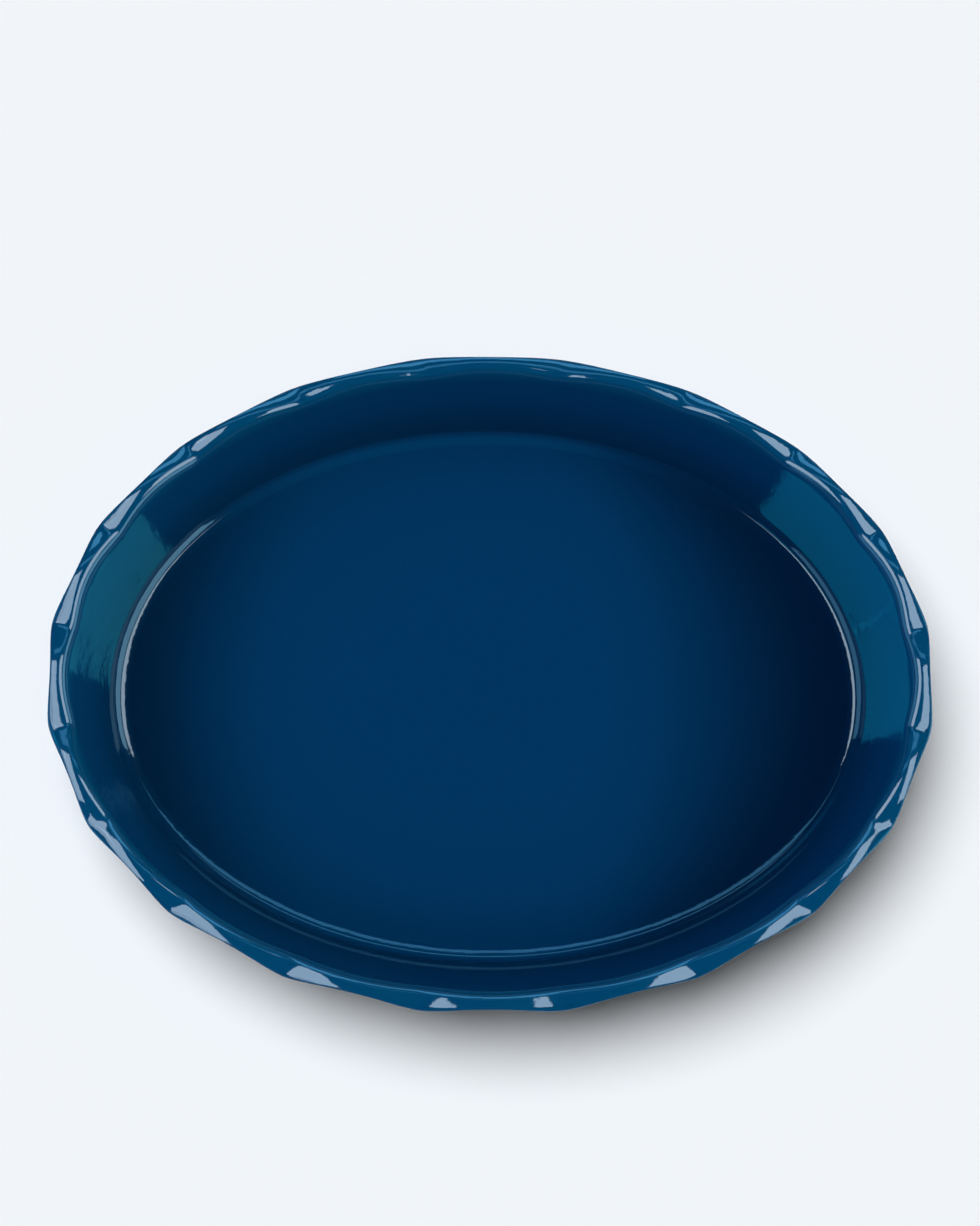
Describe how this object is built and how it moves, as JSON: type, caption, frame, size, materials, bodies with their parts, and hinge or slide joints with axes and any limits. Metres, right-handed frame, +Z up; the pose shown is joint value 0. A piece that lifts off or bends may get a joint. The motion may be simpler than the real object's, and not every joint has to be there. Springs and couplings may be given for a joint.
{
  "type": "oval baking dish",
  "caption": "Oval stoneware baking dish with leaning walls, a fluted rim pressed out and down at even points, a deep blue gloss glaze and a bare foot ring.",
  "frame": {"origin": "centre of the oval, on the plane that the foot ring stands on", "axes": "+X along the length, +Y across the dish towards its back, +Z up"},
  "size_m": [0.372, 0.2796, 0.055],
  "materials": {
    "stoneware": "matte, bare fired clay",
    "blue_glaze": "gloss"
  },
  "bodies": {
    "root": {"stoneware_body": "stoneware", "glaze_coat": "blue_glaze", "base_glaze": "blue_glaze"}
  },
  "joints": []
}
